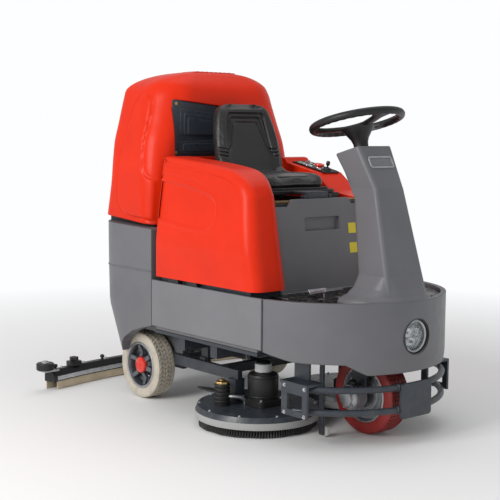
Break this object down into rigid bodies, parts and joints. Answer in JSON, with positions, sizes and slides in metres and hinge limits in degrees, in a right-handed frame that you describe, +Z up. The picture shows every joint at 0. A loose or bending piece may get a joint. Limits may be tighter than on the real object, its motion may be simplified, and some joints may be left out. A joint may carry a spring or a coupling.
{
  "type": "ride on floor scrubber",
  "caption": "Ride-on floor scrubber dryer with a tall recovery tank, padded seat, steering column, twin disc brush head, curved rear squeegee and tubular front bumper.",
  "frame": {"origin": "on the floor under the middle of the bounding box", "axes": "+X forward (steered wheel end), +Y left, +Z up"},
  "size_m": [1.6679, 1.32, 1.362],
  "materials": {
    "steel_frame": "satin dark blue-grey paint",
    "bright_steel": "brushed",
    "grey_body": "fine texture",
    "grey_panel": "fine texture",
    "red_body": "glossy, slight orange peel",
    "black_plastic": "matte",
    "seat_vinyl": "grained vinyl",
    "cream_tyre": "non-marking rubber",
    "rim_grey": "satin",
    "red_tyre": "polyurethane",
    "tan_rubber": "soft",
    "black_rubber": "matte",
    "light_skirt": "matte",
    "slate": "satin",
    "bristle": "bristle",
    "lens": "clear",
    "yellow": "matte film",
    "green_button": "gloss",
    "red_button": "gloss",
    "silver": "cast",
    "white_wheel": "satin"
  },
  "bodies": {
    "machine": {"chassis_frame": "steel_frame", "rear_axle": "bright_steel", "rear_body_shell": "grey_body", "side_panel_right": "grey_panel", "side_panel_left": "grey_panel", "front_body": "grey_body", "footwell_mat": "black_rubber", "headlamp_housing": "black_plastic", "headlamp_lens": "lens", "column_badge": "black_plastic", "pedal_base": "silver", "tank_seat_gasket": "black_rubber", "right_side_cover": "red_body", "left_side_cover": "red_body", "control_panel": "black_plastic", "seat_base_panel": "grey_body", "panel_decals": "yellow", "battery_pack": "black_plastic", "seat_support_frame": "steel_frame", "front_bumper": "steel_frame", "bumper_bracket_right": "steel_frame", "bumper_bracket_left": "steel_frame"},
    "rear_wheel_right": {"rear_tyre_right": "cream_tyre", "rear_rim_right": "rim_grey"},
    "rear_wheel_left": {"rear_tyre_left": "cream_tyre", "rear_rim_left": "rim_grey"},
    "hand_wheel": {"steering_wheel": "black_plastic", "steering_shaft": "bright_steel"},
    "pedal": {"accelerator_pedal": "silver"},
    "tank": {"recovery_tank": "red_body", "tank_window_panel": "slate"},
    "lid": {"tank_lid": "black_plastic"},
    "start": {"start_button": "green_button"},
    "stop": {"stop_button": "red_button"},
    "key": {"key_switch": "bright_steel"},
    "estop": {"emergency_stop": "red_button"},
    "lever": {"direction_lever": "bright_steel"},
    "seat": {"seat_pan": "black_plastic", "seat_cushion": "seat_vinyl", "seat_backrest": "seat_vinyl"},
    "fork": {"steering_fork": "steel_frame", "drive_motor": "silver"},
    "drive_wheel": {"drive_tyre": "red_tyre", "drive_hub": "silver"},
    "brush_head": {"brush_decks": "slate", "brush_skirts": "light_skirt", "brush_motors": "black_plastic", "water_valves": "black_plastic", "brush_lift_frame": "steel_frame"},
    "brush_right": {"scrub_brush_right": "bristle"},
    "brush_left": {"scrub_brush_left": "bristle"},
    "guard_right": {"guard_caster_right": "white_wheel"},
    "guard_left": {"guard_caster_left": "white_wheel"},
    "squeegee": {"squeegee_body": "black_plastic", "squeegee_blades": "tan_rubber", "squeegee_yoke": "steel_frame", "roller_mounts": "bright_steel", "squeegee_knobs": "black_plastic"},
    "roller_right": {"end_roller_right": "black_plastic"},
    "roller_left": {"end_roller_left": "black_plastic"}
  },
  "joints": [
    {"name": "rear_wheel_right_spin", "type": "hinge", "parent": "machine", "child": "rear_wheel_right", "pos_m": [-0.369, -0.324, 0.138], "axis": [0, 1, 0], "continuous": true},
    {"name": "rear_wheel_left_spin", "type": "hinge", "parent": "machine", "child": "rear_wheel_left", "pos_m": [-0.369, 0.324, 0.138], "axis": [0, 1, 0], "continuous": true},
    {"name": "steering_pivot", "type": "hinge", "parent": "machine", "child": "fork", "pos_m": [0.612, 0, 0.31], "axis": [0, 0, 1], "range_deg": [-60, 60]},
    {"name": "drive_wheel_spin", "type": "hinge", "parent": "fork", "child": "drive_wheel", "pos_m": [0.612, 0, 0.1475], "axis": [0, 1, 0], "continuous": true},
    {"name": "steering_wheel_turn", "type": "hinge", "parent": "machine", "child": "hand_wheel", "pos_m": [0.513, 0, 1.15], "axis": [-0.2588, 0, 0.9659], "range_deg": [-240, 240]},
    {"name": "pedal_press", "type": "hinge", "parent": "machine", "child": "pedal", "pos_m": [0.546, -0.155, 0.515], "axis": [0, 1, 0], "range_deg": [0, 12], "stiffness_Nm_per_rad": 6, "springref_deg": -17.19},
    {"name": "tank_tip_back", "type": "hinge", "parent": "machine", "child": "tank", "pos_m": [-0.596, 0, 0.761], "axis": [0, -1, 0], "range_deg": [0, 30]},
    {"name": "tank_lid_open", "type": "hinge", "parent": "tank", "child": "lid", "pos_m": [-0.431, 0, 1.362], "axis": [0, -1, 0], "range_deg": [0, 100]},
    {"name": "start_button_press", "type": "slide", "parent": "machine", "child": "start", "axis": [-0.2059, 0, -0.9786], "range_m": [0, 0.0025], "stiffness_N_per_m": 800, "springref_m": -0.001},
    {"name": "stop_button_press", "type": "slide", "parent": "machine", "child": "stop", "axis": [-0.2059, 0, -0.9786], "range_m": [0, 0.0025], "stiffness_N_per_m": 800, "springref_m": -0.001},
    {"name": "emergency_stop_press", "type": "slide", "parent": "machine", "child": "estop", "axis": [-0.2059, 0, -0.9786], "range_m": [0, 0.004], "stiffness_N_per_m": 1500, "springref_m": -0.001},
    {"name": "key_turn", "type": "hinge", "parent": "machine", "child": "key", "pos_m": [-0.0715, 0.302, 0.96639], "axis": [0.2059, 0, 0.9786], "range_deg": [-90, 0]},
    {"name": "direction_lever_tilt", "type": "hinge", "parent": "machine", "child": "lever", "pos_m": [0.02492, 0.324, 0.94866], "axis": [0, 1, 0], "range_deg": [-12, 12]},
    {"name": "seat_tilt_forward", "type": "hinge", "parent": "machine", "child": "seat", "pos_m": [0.302, 0, 0.864], "axis": [0, 1, 0], "range_deg": [0, 38]},
    {"name": "brush_head_lift", "type": "slide", "parent": "machine", "child": "brush_head", "axis": [0, 0, 1], "range_m": [0, 0.04]},
    {"name": "brush_right_spin", "type": "hinge", "parent": "brush_head", "child": "brush_right", "pos_m": [0.25, -0.249, 0.05], "axis": [0, 0, 1], "continuous": true},
    {"name": "brush_left_spin", "type": "hinge", "parent": "brush_head", "child": "brush_left", "pos_m": [0.25, 0.249, 0.05], "axis": [0, 0, 1], "continuous": true},
    {"name": "guard_caster_right_spin", "type": "hinge", "parent": "machine", "child": "guard_right", "pos_m": [0.552, -0.182, 0.021], "axis": [0, 1, 0], "continuous": true},
    {"name": "guard_caster_left_spin", "type": "hinge", "parent": "machine", "child": "guard_left", "pos_m": [0.552, 0.182, 0.021], "axis": [0, 1, 0], "continuous": true},
    {"name": "squeegee_lift", "type": "hinge", "parent": "machine", "child": "squeegee", "pos_m": [-0.58, 0, 0.212], "axis": [0, 1, 0], "range_deg": [0, 12]},
    {"name": "roller_right_spin", "type": "hinge", "parent": "squeegee", "child": "roller_right", "pos_m": [-0.706, -0.622, 0.109], "axis": [0, 0, 1], "continuous": true},
    {"name": "roller_left_spin", "type": "hinge", "parent": "squeegee", "child": "roller_left", "pos_m": [-0.706, 0.622, 0.109], "axis": [0, 0, 1], "continuous": true}
  ],
  "couplings": [
    {"joint": "steering_wheel_turn", "follows": "steering_pivot", "ratio": 4}
  ]
}
